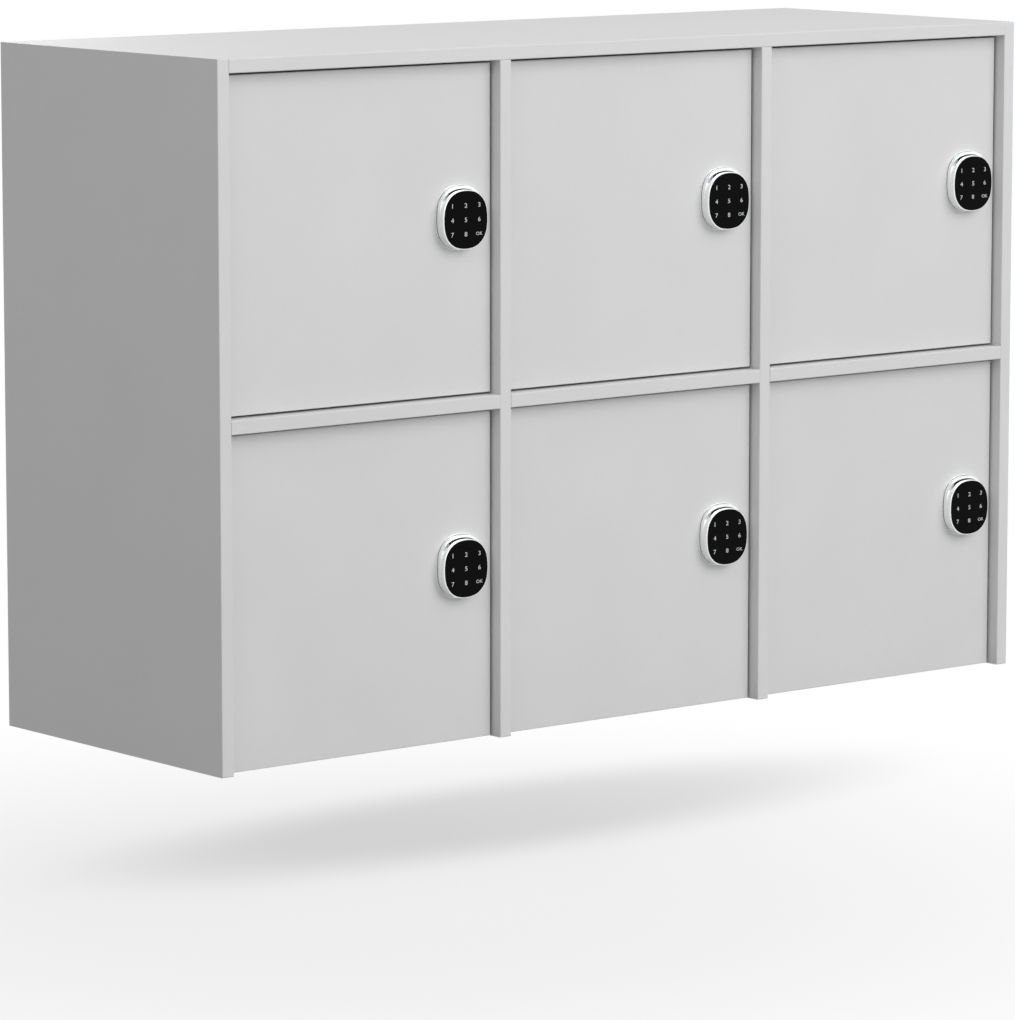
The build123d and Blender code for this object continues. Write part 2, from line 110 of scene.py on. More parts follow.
def new_material(name):
    """An empty material, its node tree, and the point that is being shaded."""
    material = bpy.data.materials.new(name)
    material.use_nodes = True
    material.node_tree.nodes.clear()
    place = add(material.node_tree, "ShaderNodeTexCoord").outputs["Object"]
    return material, material.node_tree, place


def close(tree, shader):
    """Link a shader to the material's output."""
    add(tree, "ShaderNodeOutputMaterial", Surface=shader)


def dress(material, *names):
    """Give a material to CAD nodes or pieces."""
    for name in names:
        target = nodes[name] if isinstance(name, str) else name
        target.data.materials.clear()
        target.data.materials.append(material)


def for_each(prefix):
    """The six CAD nodes of one kind, one for each door."""
    return [f"{prefix}_{key}" for key in KEYS]


# %% [markdown]
# Melamine-faced chipboard. A paper soaked with resin is pressed onto the board under a steel sheet with a
# fine grain, so the face is hard, satin and very slightly pebbled. The real grain is about a third of a
# millimetre, which is finer than a pixel here, so it is drawn at a millimetre. Long soft clouds in the tone
# keep a large face from looking like flat paint. The back is a thin fibreboard with a sprayed face, which
# is duller and a little finer.

# %% Board finish
PEBBLE = 1.1 * MM
CLOUD = 140 * MM
BOARD_REFLECTION = 0.3


def board_material(name, colour, roughness):
    """A satin face with a pebbled grain and soft clouds in its tone and gloss."""
    material, tree, place = new_material(name)
    clouds = add(tree, "ShaderNodeTexNoise", Vector=place, Scale=1 / CLOUD, Detail=2.0, Roughness=0.5)
    grain = add(tree, "ShaderNodeTexNoise", Vector=place, Scale=1 / PEBBLE, Detail=3.0, Roughness=0.6)
    tone = add(tree, "ShaderNodeMapRange", Value=clouds.outputs["Fac"], From_Min=0.3, From_Max=0.7,
               To_Min=0.985, To_Max=1.015)
    speck = add(tree, "ShaderNodeMapRange", Value=grain.outputs["Fac"], From_Min=0.25, From_Max=0.75,
                To_Min=0.97, To_Max=1.03)
    shade = add(tree, "ShaderNodeMath", {"operation": "MULTIPLY"}, n0=tone.outputs["Result"],
                n1=speck.outputs["Result"])
    base = add(tree, "ShaderNodeVectorMath", {"operation": "SCALE"}, n0=linear(colour)[:3],
               Scale=shade.outputs[0])
    rough = add(tree, "ShaderNodeMapRange", Value=clouds.outputs["Fac"], From_Min=0.3, From_Max=0.7,
                To_Min=roughness - 0.03, To_Max=roughness + 0.04)
    bump = add(tree, "ShaderNodeBump", Strength=0.25, Distance=0.06 * MM, Height=grain.outputs["Fac"])
    surface = add(tree, "ShaderNodeBsdfPrincipled", Base_Color=base.outputs["Vector"], IOR=1.5,
                  Roughness=rough.outputs["Result"], Specular_IOR_Level=BOARD_REFLECTION,
                  Normal=bump.outputs["Normal"])
    close(tree, surface.outputs["BSDF"])
    return material


melamine = board_material("melamine_faced_chipboard", "#D8D8D8", 0.5)
fibreboard = board_material("lacquered_fibreboard", "#D4D4D3", 0.6)
carcass_boards = ["side_panel_left", "side_panel_right", "divider_left", "divider_right", "top_panel",
                  "shelf_left", "shelf_middle", "shelf_right"]
dress(melamine, *carcass_boards, *for_each("door"))
dress(fibreboard, "back_panel")
print("boards dressed", len(carcass_boards) + len(KEYS) + 1)


# %% [markdown]
# The lock's housing is a plastic moulding sprayed with a silver-white satin lacquer. The lacquer holds fine
# metal flakes, so it is brighter than plain white paint where it faces the light and stays soft elsewhere.
# That is drawn as a mostly metallic surface with a slight orange peel of just under a millimetre.

# %% Housing lacquer
ORANGE_PEEL = 0.8 * MM
FLAKE_SHARE = 0.7


def silver_lacquer():
    """A bright satin lacquer, partly metal, whose gloss varies a little with its peel."""
    material, tree, place = new_material("silver_white_lacquered_moulding")
    peel = add(tree, "ShaderNodeTexNoise", Vector=place, Scale=1 / ORANGE_PEEL, Detail=2.0)
    rough = add(tree, "ShaderNodeMapRange", Value=peel.outputs["Fac"], From_Min=0.3, From_Max=0.7,
                To_Min=0.27, To_Max=0.34)
    bump = add(tree, "ShaderNodeBump", Strength=0.12, Distance=0.04 * MM, Height=peel.outputs["Fac"])
    surface = add(tree, "ShaderNodeBsdfPrincipled", Base_Color=linear("#FAFCFC"), Metallic=FLAKE_SHARE,
                  Roughness=rough.outputs["Result"], Normal=bump.outputs["Normal"])
    close(tree, surface.outputs["BSDF"])
    return material


silver_white = silver_lacquer()
dress(silver_white, *for_each("lock_housing"))
print("housings", silver_white.name)


# %% [markdown]
# The touch panel is glass with a black print on its back and an anti-glare coat on its front, so it mirrors
# far less of the room than bare glass. A thin film from fingers only shows as a change in its gloss.

# %% Touch glass
FINGER_FILM = 9 * MM
COATED_REFLECTION = 0.04


def touch_glass():
    """Coated black glass with a film of finger marks that shows only in its gloss."""
    material, tree, place = new_material("black_touch_glass")
    film = add(tree, "ShaderNodeTexNoise", Vector=place, Scale=1 / FINGER_FILM, Detail=4.0, Roughness=0.6)
    rough = add(tree, "ShaderNodeMapRange", Value=film.outputs["Fac"], From_Min=0.4, From_Max=0.7,
                To_Min=0.08, To_Max=0.18)
    surface = add(tree, "ShaderNodeBsdfPrincipled", Base_Color=linear("#070807"), IOR=1.5,
                  Roughness=rough.outputs["Result"], Specular_IOR_Level=COATED_REFLECTION)
    close(tree, surface.outputs["BSDF"])
    return material


black_glass = touch_glass()
dress(black_glass, *for_each("lock_keypad"))
print("touch panels", black_glass.name)


# %% [markdown]
# Behind the door sit the lock's case and its battery cover, moulded in grey ABS. Such cases come out of a
# spark-eroded tool, whose fine even texture hides scratches. Its grain is about half a millimetre.

# %% Moulded case
SPARK_TEXTURE = 0.5 * MM


def moulded_plastic(name, colour):
    """A matt plastic with a spark-eroded texture in its tone and relief."""
    material, tree, place = new_material(name)
    texture = add(tree, "ShaderNodeTexVoronoi", {"feature": "SMOOTH_F1"}, Vector=place,
                  Scale=1 / SPARK_TEXTURE)
    tone = add(tree, "ShaderNodeMapRange", Value=texture.outputs["Distance"], From_Min=0.1, From_Max=0.8,
               To_Min=0.94, To_Max=1.04)
    base = add(tree, "ShaderNodeVectorMath", {"operation": "SCALE"}, n0=linear(colour)[:3],
               Scale=tone.outputs["Result"])
    bump = add(tree, "ShaderNodeBump", Strength=0.35, Distance=0.05 * MM, Height=texture.outputs["Distance"])
    surface = add(tree, "ShaderNodeBsdfPrincipled", Base_Color=base.outputs["Vector"], Roughness=0.55,
                  IOR=1.53, Normal=bump.outputs["Normal"])
    close(tree, surface.outputs["BSDF"])
    return material


grey_abs = moulded_plastic("textured_grey_abs", "#8F9294")
cover_abs = moulded_plastic("textured_dark_grey_abs", "#7C7F82")
dress(grey_abs, *for_each("lock_case"))
dress(cover_abs, *for_each("battery_cover"))
print("cases", grey_abs.name, cover_abs.name)


# %% [markdown]
# The hinges and strike plates are pressed from strip and nickel plated. Rolling leaves fine lines along the
# strip, and the plating follows them, so highlights stretch a little. The bolt and the pins are drawn bar,
# ground bright, with tighter lines. Both are metals, so their colour is in the reflection.

# %% Plated and ground steel
ROLLING_LINE = 0.35 * MM
GRINDING_LINE = 0.2 * MM


def lined_metal(name, colour, line, roughness, stretch):
    """A metal with fine lines along one axis. The stretch divides the pattern's scale on each axis."""
    material, tree, place = new_material(name)
    drawn = add(tree, "ShaderNodeVectorMath", {"operation": "MULTIPLY"}, n0=place, n1=stretch)
    lines = add(tree, "ShaderNodeTexNoise", Vector=drawn.outputs[0], Scale=1 / line, Detail=3.0,
                Roughness=0.55)
    rough = add(tree, "ShaderNodeMapRange", Value=lines.outputs["Fac"], From_Min=0.3, From_Max=0.7,
                To_Min=roughness - 0.05, To_Max=roughness + 0.07)
    bump = add(tree, "ShaderNodeBump", Strength=0.15, Distance=0.02 * MM, Height=lines.outputs["Fac"])
    surface = add(tree, "ShaderNodeBsdfPrincipled", Base_Color=linear(colour), Metallic=1.0,
                  Roughness=rough.outputs["Result"], Normal=bump.outputs["Normal"])
    close(tree, surface.outputs["BSDF"])
    return material


nickel = lined_metal("nickel_plated_pressed_steel", "#C4C0B8", ROLLING_LINE, 0.30, (1.0, 1.0, 0.06))
ground_steel = lined_metal("ground_bright_steel", "#C9CACC", GRINDING_LINE, 0.24, (0.05, 1.0, 1.0))
dress(nickel, "hinge_arms", "hinge_plates", "strike_plates", *for_each("hinge_cups"))
dress(ground_steel, *for_each("lock_bolt"), *for_each("hinge_pins"))
print("metals", nickel.name, ground_steel.name)


# %% [markdown]
# Where things go. The doors repeat in three columns and two rows, so one table of places serves every small
# piece. The numbers repeat the CAD's own, in millimetres: a bay's left face, the lock's centre, the two
# heights of the hinges.

# %% Places
CARCASS_WIDTH, BOARD_THICK = 1200.0, 16.0
BAY_PITCH = CARCASS_WIDTH / len(COLUMNS) - BOARD_THICK / len(COLUMNS)
FIRST_BAY = BOARD_THICK - CARCASS_WIDTH / 2
LOCK_FROM_BAY = 329.467
LOCK_HEIGHTS = {"lower": 201.0, "upper": 599.0}
HINGE_HEIGHTS = {"lower": (81.0, 297.5), "upper": (479.0, 694.0)}
DOOR_FRONT = -195.0
GLASS_FRONT = -209.0


def bay_left(key):
    """Where a door's bay starts, as X."""
    return FIRST_BAY + COLUMNS.index(key.split("_")[1]) * BAY_PITCH


def lock_centre(key):
    """The lock's middle on the door, as X and Z."""
    return bay_left(key) + LOCK_FROM_BAY, LOCK_HEIGHTS[key.split("_")[0]]


def hinge_heights(key):
    """The middles of a door's two hinges, as Z."""
    return HINGE_HEIGHTS[key.split("_")[0]]


for key in KEYS:
    low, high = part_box(f"lock_keypad_{key}")
    middle = (low + high) / 2 / MM
    print(key, "lock", [round(v, 1) for v in lock_centre(key)],
          "keypad", round(middle.x, 1), round(middle.z, 1))


# %% [markdown]
# Small pieces are built as mesh and given to the body that carries them. One function makes the object,
# gives it its finish and lets it ride.

# %% Piece helper
def piece(name, shape, material, body):
    """Make an object from a bmesh in metres, dress it and let it ride on a body."""
    mesh = bpy.data.meshes.new(name)
    bmesh.ops.recalc_face_normals(shape, faces=shape.faces)
    shape.to_mesh(mesh)
    shape.free()
    made = bpy.data.objects.new(name, mesh)
    bpy.context.scene.collection.objects.link(made)
    dress(material, made)
    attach(made, body)
    return made


# %% [markdown]
# The keypad's characters are printed in white behind the glass. Real ones are a layer of ink a hundredth of
# a millimetre thick. Here each is a thin plate just on the glass, so that it also shows in the exported
# model. The digits are set in Blender's own plain typeface, a fifth wider than it comes, three by three,
# with 5 in the middle of the glass.

# %% Printing ink
INK_GRAIN = 0.3 * MM


def white_ink():
    """A dull white whose tone varies a little, as screen printing leaves it."""
    material, tree, place = new_material("white_screen_print")
    grain = add(tree, "ShaderNodeTexNoise", Vector=place, Scale=1 / INK_GRAIN, Detail=2.0)
    tone = add(tree, "ShaderNodeMapRange", Value=grain.outputs["Fac"], To_Min=0.9, To_Max=1.0)
    base = add(tree, "ShaderNodeVectorMath", {"operation": "SCALE"}, n0=linear("#D6D9D8")[:3],
               Scale=tone.outputs["Result"])
    surface = add(tree, "ShaderNodeBsdfPrincipled", Base_Color=base.outputs["Vector"], Roughness=0.4)
    close(tree, surface.outputs["BSDF"])
    return material


ink = white_ink()
print("ink", ink.name)


# %% Characters
PRINT_ROWS = (("1", "2", "3"), ("4", "5", "6"), ("7", "8", "OK"))
LETTER_THICK = 0.01
CURVE_STEPS = 3


def character(text):
    """The mesh of a character or word, centred, lying in the X-Y plane, in units of its own height."""
    curve = bpy.data.curves.new("character", "FONT")
    curve.body = text
    curve.extrude = LETTER_THICK
    curve.resolution_u = CURVE_STEPS
    holder = bpy.data.objects.new("character", curve)
    bpy.context.scene.collection.objects.link(holder)
    mesh = bpy.data.meshes.new_from_object(holder.evaluated_get(bpy.context.evaluated_depsgraph_get()))
    bpy.data.objects.remove(holder)
    corners = [vertex.co for vertex in mesh.vertices]
    low = Vector([min(co[axis] for co in corners) for axis in range(3)])
    high = Vector([max(co[axis] for co in corners) for axis in range(3)])
    shrink = Matrix.Diagonal((1 / (high.y - low.y),) * 3).to_4x4()
    mesh.transform(shrink @ Matrix.Translation(-(low + high) / 2))
    return mesh


characters = {text: character(text) for texts in PRINT_ROWS for text in texts}
print("characters", len(characters))


# %% Keypad print
COLUMN_PITCH = 19.3
ROW_PITCH = 16.3
DIGIT_HEIGHT = 5.0
WORD_HEIGHT = 3.8
SPREAD = 1.2
PRINT_THICK = 0.04
WELD = 0.002


def keypad_print(key):
    """All characters of one keypad as a single mesh on its glass."""
    shape = bmesh.new()
    lock_x, lock_z = lock_centre(key)
    for row, texts in enumerate(PRINT_ROWS):
        for column, text in enumerate(texts):
            size = DIGIT_HEIGHT if len(text) == 1 else WORD_HEIGHT
            first = len(shape.verts)
            shape.from_mesh(characters[text])
            shape.verts.ensure_lookup_table()
            for vertex in shape.verts[first:]:
                x, y, z = vertex.co
                side = (column - 1) * COLUMN_PITCH + x * size * SPREAD
                rise = (1 - row) * ROW_PITCH + y * size
                depth = GLASS_FRONT - (PRINT_THICK if z > 0 else 0)
                vertex.co = Vector((lock_x + side, depth, lock_z + rise)) * MM
    bmesh.ops.remove_doubles(shape, verts=shape.verts, dist=WELD * MM)
    return shape


for key in KEYS:
    piece(f"keypad_print_{key}", keypad_print(key), ink, f"door_{key}")
print("characters", len(characters), "on", len(KEYS), "keypads")


# %% [markdown]
# The lock's outline is an oval of flat arcs that run smoothly into rounder corner arcs. The groove's lining
# and the painted shade ring at the foot follow it, so its maths is repeated here from the same sizes as the
# CAD: the glass's half width and half height, the corner's radius and how far the sides bulge.

# %% A quarter of the lock's outline
HALF_WIDTH, HALF_HEIGHT = 31.0, 32.75
CORNER_RADIUS = 25.8
SIDE_BULGE, END_BULGE = 0.6, 0.45
CORNER_POINTS, SIDE_POINTS = 14, 3


def arc(centre, radius, start, end, count):
    """Points on a circle between two angles."""
    angles = [start + (end - start) * i / count for i in range(count + 1)]
    return [(centre[0] + radius * math.cos(a), centre[1] + radius * math.sin(a)) for a in angles]


def quarter(margin, rise):
    """The outline from its right side up to its top, grown by a margin, and taller by a rise."""
    width, height, radius = HALF_WIDTH + margin, HALF_HEIGHT + margin + rise, CORNER_RADIUS + margin
    corner_x = HALF_WIDTH - CORNER_RADIUS - SIDE_BULGE
    corner_y = HALF_HEIGHT + rise - CORNER_RADIUS - END_BULGE
    side_reach, end_reach = width - corner_x, height - corner_y
    side_r = (side_reach ** 2 + corner_y ** 2 - radius ** 2) / (2 * (side_reach - radius))
    end_r = (end_reach ** 2 + corner_x ** 2 - radius ** 2) / (2 * (end_reach - radius))
    first = math.atan2(corner_y, corner_x - (width - side_r))
    last = math.atan2(corner_y - (height - end_r), corner_x)
    side = arc((width - side_r, 0), side_r, 0, first, SIDE_POINTS)
    corner = arc((corner_x, corner_y), radius, first, last, CORNER_POINTS)
    end = arc((0, height - end_r), end_r, last, math.pi / 2, SIDE_POINTS)
    return side + corner[1:] + end[1:]


print("points in a quarter of the glass", len(quarter(0, 0)))


# %% The whole outline
def ring(margin, rise):
    """The whole closed outline, with the rise in its upper half only."""
    upper, lower = quarter(margin, rise), quarter(margin, 0)
    half = upper + [(-x, z) for x, z in reversed(upper[:-1])]
    return half + [(-x, -z) for x, z in lower[1:]] + [(x, -z) for x, z in reversed(lower[1:-1])]


def height_at(x, margin, rise):
    """How high the outline's top runs at a distance from its middle."""
    points = quarter(margin, rise)
    for (x0, z0), (x1, z1) in zip(points, points[1:]):
        if x1 <= abs(x) <= x0:
            return z0 + (z1 - z0) * (x0 - abs(x)) / (x0 - x1)
    return points[-1][1]


print("glass outline points", len(ring(0, 0)), "top", round(height_at(0, 0, 0), 2))


# %% [markdown]
# Two black pieces show on each lock, both in one soft black rubber finish. A strip lines the back and the
# floor of the finger groove on top, and its black also serves as painted shade deep in the groove. A thin
# ring in the joint between the foot and the housing is painted shade: it draws that joint's dark shadow
# line.

# %% Rubber, also used for painted shade
RUBBER_BLOOM = 1.5 * MM
RUBBER_REFLECTION = 0.3


def make_rubber_and_painted_shade():
    """A matt rubber with a patchy bloom that shows only in its gloss."""
    material, tree, place = new_material("matt_black_rubber_and_painted_shade")
    bloom = add(tree, "ShaderNodeTexNoise", Vector=place, Scale=1 / RUBBER_BLOOM, Detail=3.0)
    rough = add(tree, "ShaderNodeMapRange", Value=bloom.outputs["Fac"], From_Min=0.3, From_Max=0.7,
                To_Min=0.65, To_Max=0.85)
    surface = add(tree, "ShaderNodeBsdfPrincipled", Base_Color=linear("#161717"), IOR=1.52,
                  Roughness=rough.outputs["Result"], Specular_IOR_Level=RUBBER_REFLECTION)
    close(tree, surface.outputs["BSDF"])
    return material


rubber_and_painted_shade = make_rubber_and_painted_shade()
print("trims", rubber_and_painted_shade.name)


# %% Groove lining and painted shade ring
BEZEL = 1.2
BASE_RISE = 4.0
GROOVE_DEPTH = 5.0
GROOVE_BACK = DOOR_FRONT - 6.6
GROOVE_MOUTH = DOOR_FRONT - 10.2
LINING_THICK = 0.3
LINING_LEAST = 3 * LINING_THICK
LINING_HALF_WIDTH = 19.0
LINING_TOP_INSET = 3.0
LINING_STEPS = 32
FOOT_THICK = 1.6
SHADE_RING_WIDTH = 0.35


def sweep_loops(loops, closed):
    """Skin between equal loops of points. The row of loops is closed into a ring, or capped at its ends."""
    shape = bmesh.new()
    rows = [[shape.verts.new(Vector(point) * MM) for point in loop] for loop in loops]
    pairs = list(zip(rows, rows[1:] + rows[:1])) if closed else list(zip(rows, rows[1:]))
    for one, two in pairs:
        for i in range(len(one)):
            j = (i + 1) % len(one)
            shape.faces.new((one[i], one[j], two[j], two[i]))
    if not closed:
        shape.faces.new(rows[0])
        shape.faces.new(reversed(rows[-1]))
    return shape


def groove_lining_and_shade(key):
    """An L-shaped black strip: up the groove's back wall, and forward along its floor. Its black is partly
    painted shade for the groove.
    """
    lock_x, lock_z = lock_centre(key)
    loops = []
    for step in range(LINING_STEPS + 1):
        x = LINING_HALF_WIDTH * (2 * step / LINING_STEPS - 1)
        floor = height_at(x, BEZEL, 0) - GROOVE_DEPTH
        top = max(height_at(x, BEZEL, BASE_RISE) - LINING_TOP_INSET, floor + LINING_LEAST)
        section = [(GROOVE_BACK, floor), (GROOVE_MOUTH + LINING_THICK, floor),
                   (GROOVE_MOUTH + LINING_THICK, floor + LINING_THICK),
                   (GROOVE_BACK - LINING_THICK, floor + LINING_THICK), (GROOVE_BACK - LINING_THICK, top),
                   (GROOVE_BACK, top)]
        loops.append([(lock_x + x, y, lock_z + z) for y, z in section])
    return sweep_loops(loops, closed=False)


def painted_foot_shade(key):
    """Painted shade: a thin black ring in the corner between the foot and the housing's wall, drawing that
    joint's shadow line.
    """
    lock_x, lock_z = lock_centre(key)
    inner, outer = ring(BEZEL, BASE_RISE), ring(BEZEL + SHADE_RING_WIDTH, BASE_RISE)
    back = DOOR_FRONT - FOOT_THICK
    loops = []
    for (x0, z0), (x1, z1) in zip(inner, outer):
        section = [(x0, back, z0), (x1, back, z1), (x1, back - SHADE_RING_WIDTH, z1), (x0, back - SHADE_RING_WIDTH, z0)]
        loops.append([(lock_x + x, y, lock_z + z) for x, y, z in section])
    return sweep_loops(loops, closed=True)


for key in KEYS:
    piece(f"groove_lining_and_shade_{key}", groove_lining_and_shade(key), rubber_and_painted_shade, f"door_{key}")
    piece(f"painted_foot_shade_{key}", painted_foot_shade(key), rubber_and_painted_shade, f"door_{key}")
print("groove floor", round(height_at(0, BEZEL, 0) - GROOVE_DEPTH, 2), "mm above the lock's centre")


# %% [markdown]
# The screws that hold the hinges, strike plates and lock cases have low round heads with a cross recess.
# One head is built once: a dome turned from a short profile, with a tapered cross sunk into it. Copies of
# its mesh are then set on the steel, each a little turned, as a screwdriver leaves them.

# %% One screw head
HEAD_RADIUS = 3.5
HEAD_HEIGHT = 1.5
HEAD_SIDES = 32
SEAT_SHARE = 0.96
RIM_HEIGHT = 0.25
FLAT_MARGIN = 0.35
DOME_STEPS = 4
CROSS_REACH = 2.0
CROSS_HALF = 0.42
CROSS_DEPTH = 0.9
CROSS_TAPER = 0.55


def screw_head():
    """A screw head on the X-Y plane, looking up Z, in millimetres."""
    shape = bmesh.new()
    flat = CROSS_REACH + FLAT_MARGIN
    rings = [(HEAD_RADIUS * SEAT_SHARE, 0.0), (HEAD_RADIUS, RIM_HEIGHT)]
    for step in range(1, DOME_STEPS + 1):
        share = step / DOME_STEPS
        radius = HEAD_RADIUS + (flat - HEAD_RADIUS) * share
        rings.append((radius, RIM_HEIGHT + (HEAD_HEIGHT - RIM_HEIGHT) * math.sin(share * math.pi / 2)))
    rows = []
    for radius, height in rings:
        angles = [2 * math.pi * i / HEAD_SIDES for i in range(HEAD_SIDES)]
        rows.append([shape.verts.new((radius * math.cos(a), radius * math.sin(a), height)) for a in angles])
    for one, two in zip(rows, rows[1:]):
        for i in range(HEAD_SIDES):
            j = (i + 1) % HEAD_SIDES
            shape.faces.new((one[i], one[j], two[j], two[i]))
    shape.faces.new(reversed(rows[0]))
    arm = [(CROSS_REACH, -CROSS_HALF), (CROSS_REACH, CROSS_HALF), (CROSS_HALF, CROSS_HALF)]
    cross = [(x * c - y * s, x * s + y * c) for c, s in ((1, 0), (0, 1), (-1, 0), (0, -1)) for x, y in arm]
    mouth = [shape.verts.new((x, y, HEAD_HEIGHT)) for x, y in cross]
    bottom = [shape.verts.new((x * CROSS_TAPER, y * CROSS_TAPER, HEAD_HEIGHT - CROSS_DEPTH))
              for x, y in cross]
    for i in range(len(cross)):
        j = (i + 1) % len(cross)
        shape.faces.new((mouth[i], mouth[j], bottom[j], bottom[i]))
    shape.faces.new(bottom)
    top_edges = [shape.edges.get((row[i], row[(i + 1) % len(row)])) for row in (rows[-1], mouth)
                 for i in range(len(row))]
    bmesh.ops.triangle_fill(shape, use_beauty=True, edges=top_edges)
    mesh = bpy.data.meshes.new("screw_head")
    bmesh.ops.recalc_face_normals(shape, faces=shape.faces)
    shape.to_mesh(mesh)
    shape.free()
    return mesh


head = screw_head()
print("points in a screw head", len(head.vertices))


# %% Screws from one head
TURN_STEP = 0.7


def screws(places, facing):
    """Copies of the screw head at places in millimetres, looking along a direction."""
    shape = bmesh.new()
    turn = Vector((0, 0, 1)).rotation_difference(Vector(facing)).to_matrix().to_4x4()
    for count, place in enumerate(places):
        first = len(shape.verts)
        shape.from_mesh(head)
        shape.verts.ensure_lookup_table()
        move = Matrix.Translation(Vector(place)) @ turn @ Matrix.Rotation(count * TURN_STEP, 4, "Z")
        for vertex in shape.verts[first:]:
            vertex.co = (move @ vertex.co) * MM
    return shape


# %% [markdown]
# Each hinge has two screws in the cup's flange, two in the mounting plate's wing and one in the arm's slot.
# The lock case has two beside its cover, and each strike plate has two beside its slot. Those on a door ride
# with the door, and the rest belong to the carcass.

# %% Screws in their places
CUP_SCREW = (33.7, -178.0, 22.5)
WING_SCREW = (2.5, -142.0, 16.0)
SLOT_SCREW = (8.4, -122.0)
CASE_SCREW = (35.5, -157.0, 25.0)
STRIKE_SCREW = (377.167, -168.0, 17.5)

both = (-1, 1)
for key in KEYS:
    left, (lock_x, lock_z) = bay_left(key), lock_centre(key)
    x, y, spread = CUP_SCREW
    places = [(left + x, y, z + side * spread) for z in hinge_heights(key) for side in both]
    x, y, spread = CASE_SCREW
    places += [(lock_x + x, y, lock_z + side * spread) for side in both]
    piece(f"door_screws_{key}", screws(places, (0, 1, 0)), nickel, f"door_{key}")
x, y, spread = WING_SCREW
plate_places = [(bay_left(key) + x, y, z + side * spread)
                for key in KEYS for z in hinge_heights(key) for side in both]
x, y = SLOT_SCREW
plate_places += [(bay_left(key) + x, y, z) for key in KEYS for z in hinge_heights(key)]
piece("hinge_plate_screws", screws(plate_places, (1, 0, 0)), nickel, "carcass")
x, y, spread = STRIKE_SCREW
strike_places = [(bay_left(key) + x, y, lock_centre(key)[1] + side * spread)
                 for key in KEYS for side in both]
piece("strike_plate_screws", screws(strike_places, (-1, 0, 0)), nickel, "carcass")
print("screws on the carcass", len(plate_places) + len(strike_places))


# %% [markdown]
# The floor. The unit hangs above it, as in the photograph, so its shadow is a soft band on the floor. The
# floor is white paper. Under the unit it is partly a real lit surface, which keeps the shadow, and partly
# plain white, which keeps it pale. Away from the unit the plain white takes over in two steps: a near one
# around the unit's footprint, and a far one into the background.

# %% Floor
FLOOR_LEVEL = -0.145
FLOOR_RADIUS = 14.0
FLOOR_SIDES = 96

floor_mesh = bpy.data.meshes.new("floor")
floor_shape = bmesh.new()
bmesh.ops.create_circle(floor_shape, cap_ends=True, segments=FLOOR_SIDES, radius=FLOOR_RADIUS)
floor_shape.to_mesh(floor_mesh)
floor_shape.free()
floor = bpy.data.objects.new("floor", floor_mesh)
floor.location = (0, 0, FLOOR_LEVEL)
bpy.context.scene.collection.objects.link(floor)
print("floor level", FLOOR_LEVEL)


# %% Floor paper
WHITE_AROUND = 0.79
WHITE_LESS_UNDER = 0.19
FOOTPRINT_MIDDLE = (-0.03, 0.0, 0.0)
FOOTPRINT_HALF = (0.66, 0.21)
UNDER_FULL, UNDER_GONE = 0.40, 1.15
PAPER_MIDDLE = (-0.45, -0.25, 0.0)
FAR_START, FAR_END = 0.25, 1.3


def seen_directly(tree):
    """One for what the camera, a mirror or a glass shows, and nought for light on its way elsewhere."""
    path = add(tree, "ShaderNodeLightPath").outputs
    either = add(tree, "ShaderNodeMath", {"operation": "MAXIMUM"}, n0=path["Is Camera Ray"],
                 n1=path["Is Glossy Ray"])
    return add(tree, "ShaderNodeMath", {"operation": "MAXIMUM"}, n0=either.outputs[0],
               n1=path["Is Transmission Ray"]).outputs[0]


def distance_from(tree, place, point, unit=(1.0, 1.0)):
    """The distance on the floor from a point. Each axis is measured in a unit of its own, in metres."""
    moved = add(tree, "ShaderNodeVectorMath", {"operation": "SUBTRACT"}, n0=place, n1=point)
    scaled = add(tree, "ShaderNodeVectorMath", {"operation": "MULTIPLY"}, n0=moved.outputs[0],
                 n1=(1 / unit[0], 1 / unit[1], 0.0))
    return add(tree, "ShaderNodeVectorMath", {"operation": "LENGTH"}, n0=scaled.outputs[0]).outputs["Value"]


def floor_material():
    """White paper: partly lit and partly plain white, with more of the plain away from the unit."""
    material, tree, place = new_material("white_floor_with_painted_shadow_shape")
    smooth = {"interpolation_type": "SMOOTHSTEP"}
    # Painted shadow shape: the plain white share is set by place. Less of it under the unit's footprint
    # deepens the shade there, and more of it away from the unit fades the shadow out.
    far = add(tree, "ShaderNodeMapRange", smooth, Value=distance_from(tree, place, PAPER_MIDDLE),
              From_Min=FAR_START, From_Max=FAR_END, To_Min=WHITE_AROUND, To_Max=1.0)
    under = add(tree, "ShaderNodeMapRange", smooth,
                Value=distance_from(tree, place, FOOTPRINT_MIDDLE, FOOTPRINT_HALF),
                From_Min=UNDER_FULL, From_Max=UNDER_GONE, To_Min=WHITE_LESS_UNDER, To_Max=0.0)
    white_share = add(tree, "ShaderNodeMath", {"operation": "SUBTRACT"}, n0=far.outputs["Result"],
                      n1=under.outputs["Result"])
    share = add(tree, "ShaderNodeMath", {"operation": "MULTIPLY"}, n0=white_share.outputs[0],
                n1=seen_directly(tree))
    matt = add(tree, "ShaderNodeBsdfDiffuse", Color=linear("#F2F2F2"), Roughness=0.5)
    white = add(tree, "ShaderNodeEmission", Color=(1, 1, 1, 1), Strength=1.0)
    mix = add(tree, "ShaderNodeMixShader", Fac=share.outputs[0], n1=matt.outputs[0], n2=white.outputs[0])
    close(tree, mix.outputs[0])
    return material


dress(floor_material(), floor)
print("plain white around the unit", WHITE_AROUND, "and under it", round(WHITE_AROUND - WHITE_LESS_UNDER, 2))


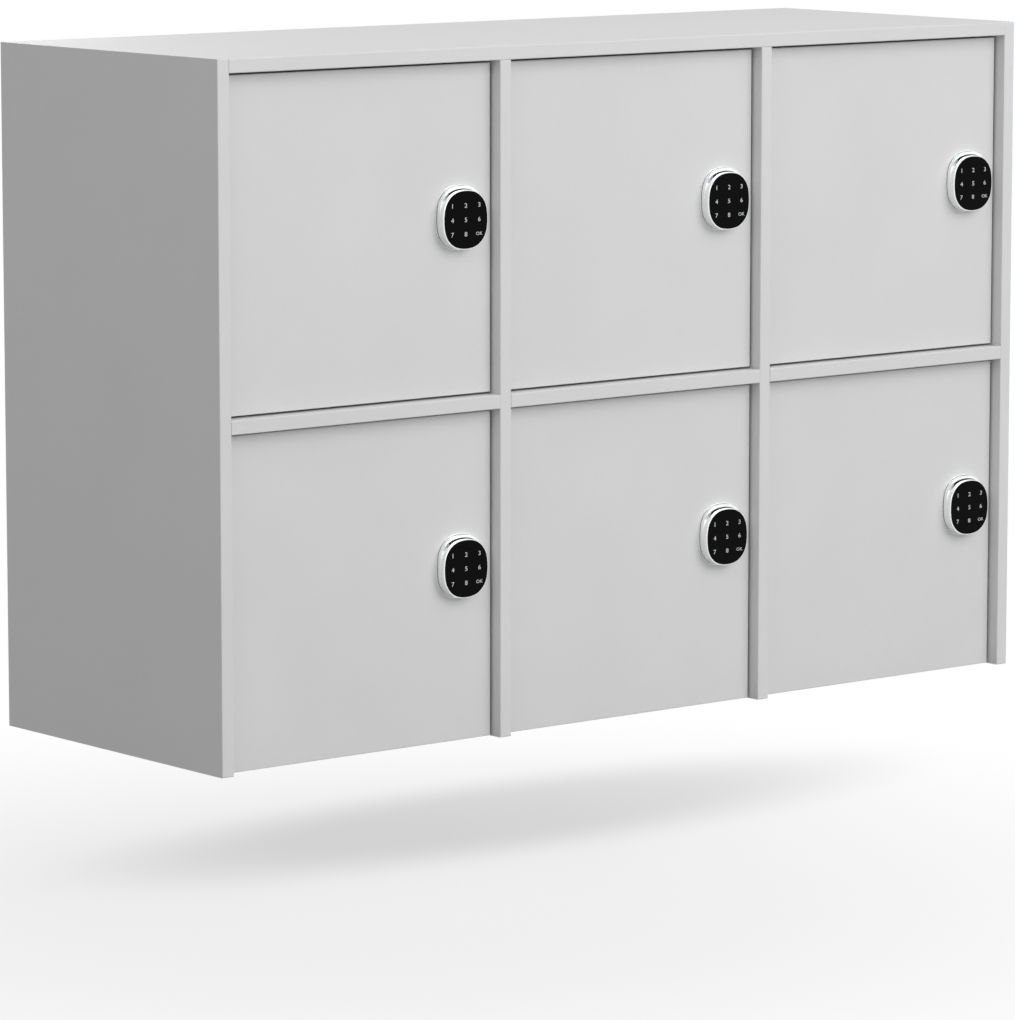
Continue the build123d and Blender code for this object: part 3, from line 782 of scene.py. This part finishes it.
# %% [markdown]
# The light. The photograph's light is very soft: there is only a faint darker rim along each door's edges.
# An even sky gives a part of it, and large soft boxes give the rest. The main one stands high in front and
# to the right. It gives the fronts their slow fall-off towards the floor, and leaves the narrow faces that
# look left in shade, as the photograph has them. A lower one in front fills in, two at the left model the
# side panel, one overhead lights the top, and one behind lights the back. The strengths were fitted to the
# grey levels of the doors, side and top, apart from the one behind, which lights what the photograph does
# not show. Only the overhead box and the sky light the floor, so there is one shadow.

# %% Studio sky
SKY = 0.32

world = bpy.data.worlds.new("studio")
bpy.context.scene.world = world
world.use_nodes = True
sky = world.node_tree
sky.nodes.clear()
soft = add(sky, "ShaderNodeBackground", Color=(1, 1, 1, 1), Strength=SKY)
white = add(sky, "ShaderNodeBackground", Color=(1, 1, 1, 1), Strength=1.0)
mix = add(sky, "ShaderNodeMixShader", Fac=seen_directly(sky), n1=soft.outputs[0], n2=white.outputs[0])
add(sky, "ShaderNodeOutputWorld", Surface=mix.outputs[0])
print("sky", SKY)


# %% Soft boxes
BOX_AIM = Vector((0, 0, 0.4))


def soft_box(name, place, size, power, lights_floor=False):
    """A square lamp that looks at the unit, in metres and watts. A link makes it leave the floor out."""
    data = bpy.data.lights.new(name, "AREA")
    data.shape = "SQUARE"
    data.size = size
    data.energy = power
    box = bpy.data.objects.new(name, data)
    bpy.context.scene.collection.objects.link(box)
    box.location = place
    box.rotation_euler = (BOX_AIM - Vector(place)).to_track_quat("-Z", "Y").to_euler()
    if not lights_floor:
        left_out = bpy.data.collections.new(name + "_leaves_out")
        left_out.objects.link(floor)
        box.light_linking.receiver_collection = left_out
        left_out.collection_objects[0].light_linking.link_state = "EXCLUDE"


soft_box("high_front_box", (1.5, -4.0, 3.0), 4.0, 124)
soft_box("low_front_box", (0.6, -4.0, 1.6), 2.0, 30)
soft_box("left_front_box", (-3.0, -1.6, 2.4), 1.6, 18)
soft_box("left_back_box", (-2.4, 0.9, 1.9), 1.4, 2)
soft_box("back_box", (0.6, 3.4, 1.2), 2.0, 34)
soft_box("top_box", (0, 0, 2.9), 2.2, 10, lights_floor=True)
print("soft boxes", [light.name for light in bpy.data.lights])


# %% [markdown]
# The finish. The plain view transform shows each grey as it was fitted.

# %% Finish
bpy.context.scene.view_settings.view_transform = "Standard"
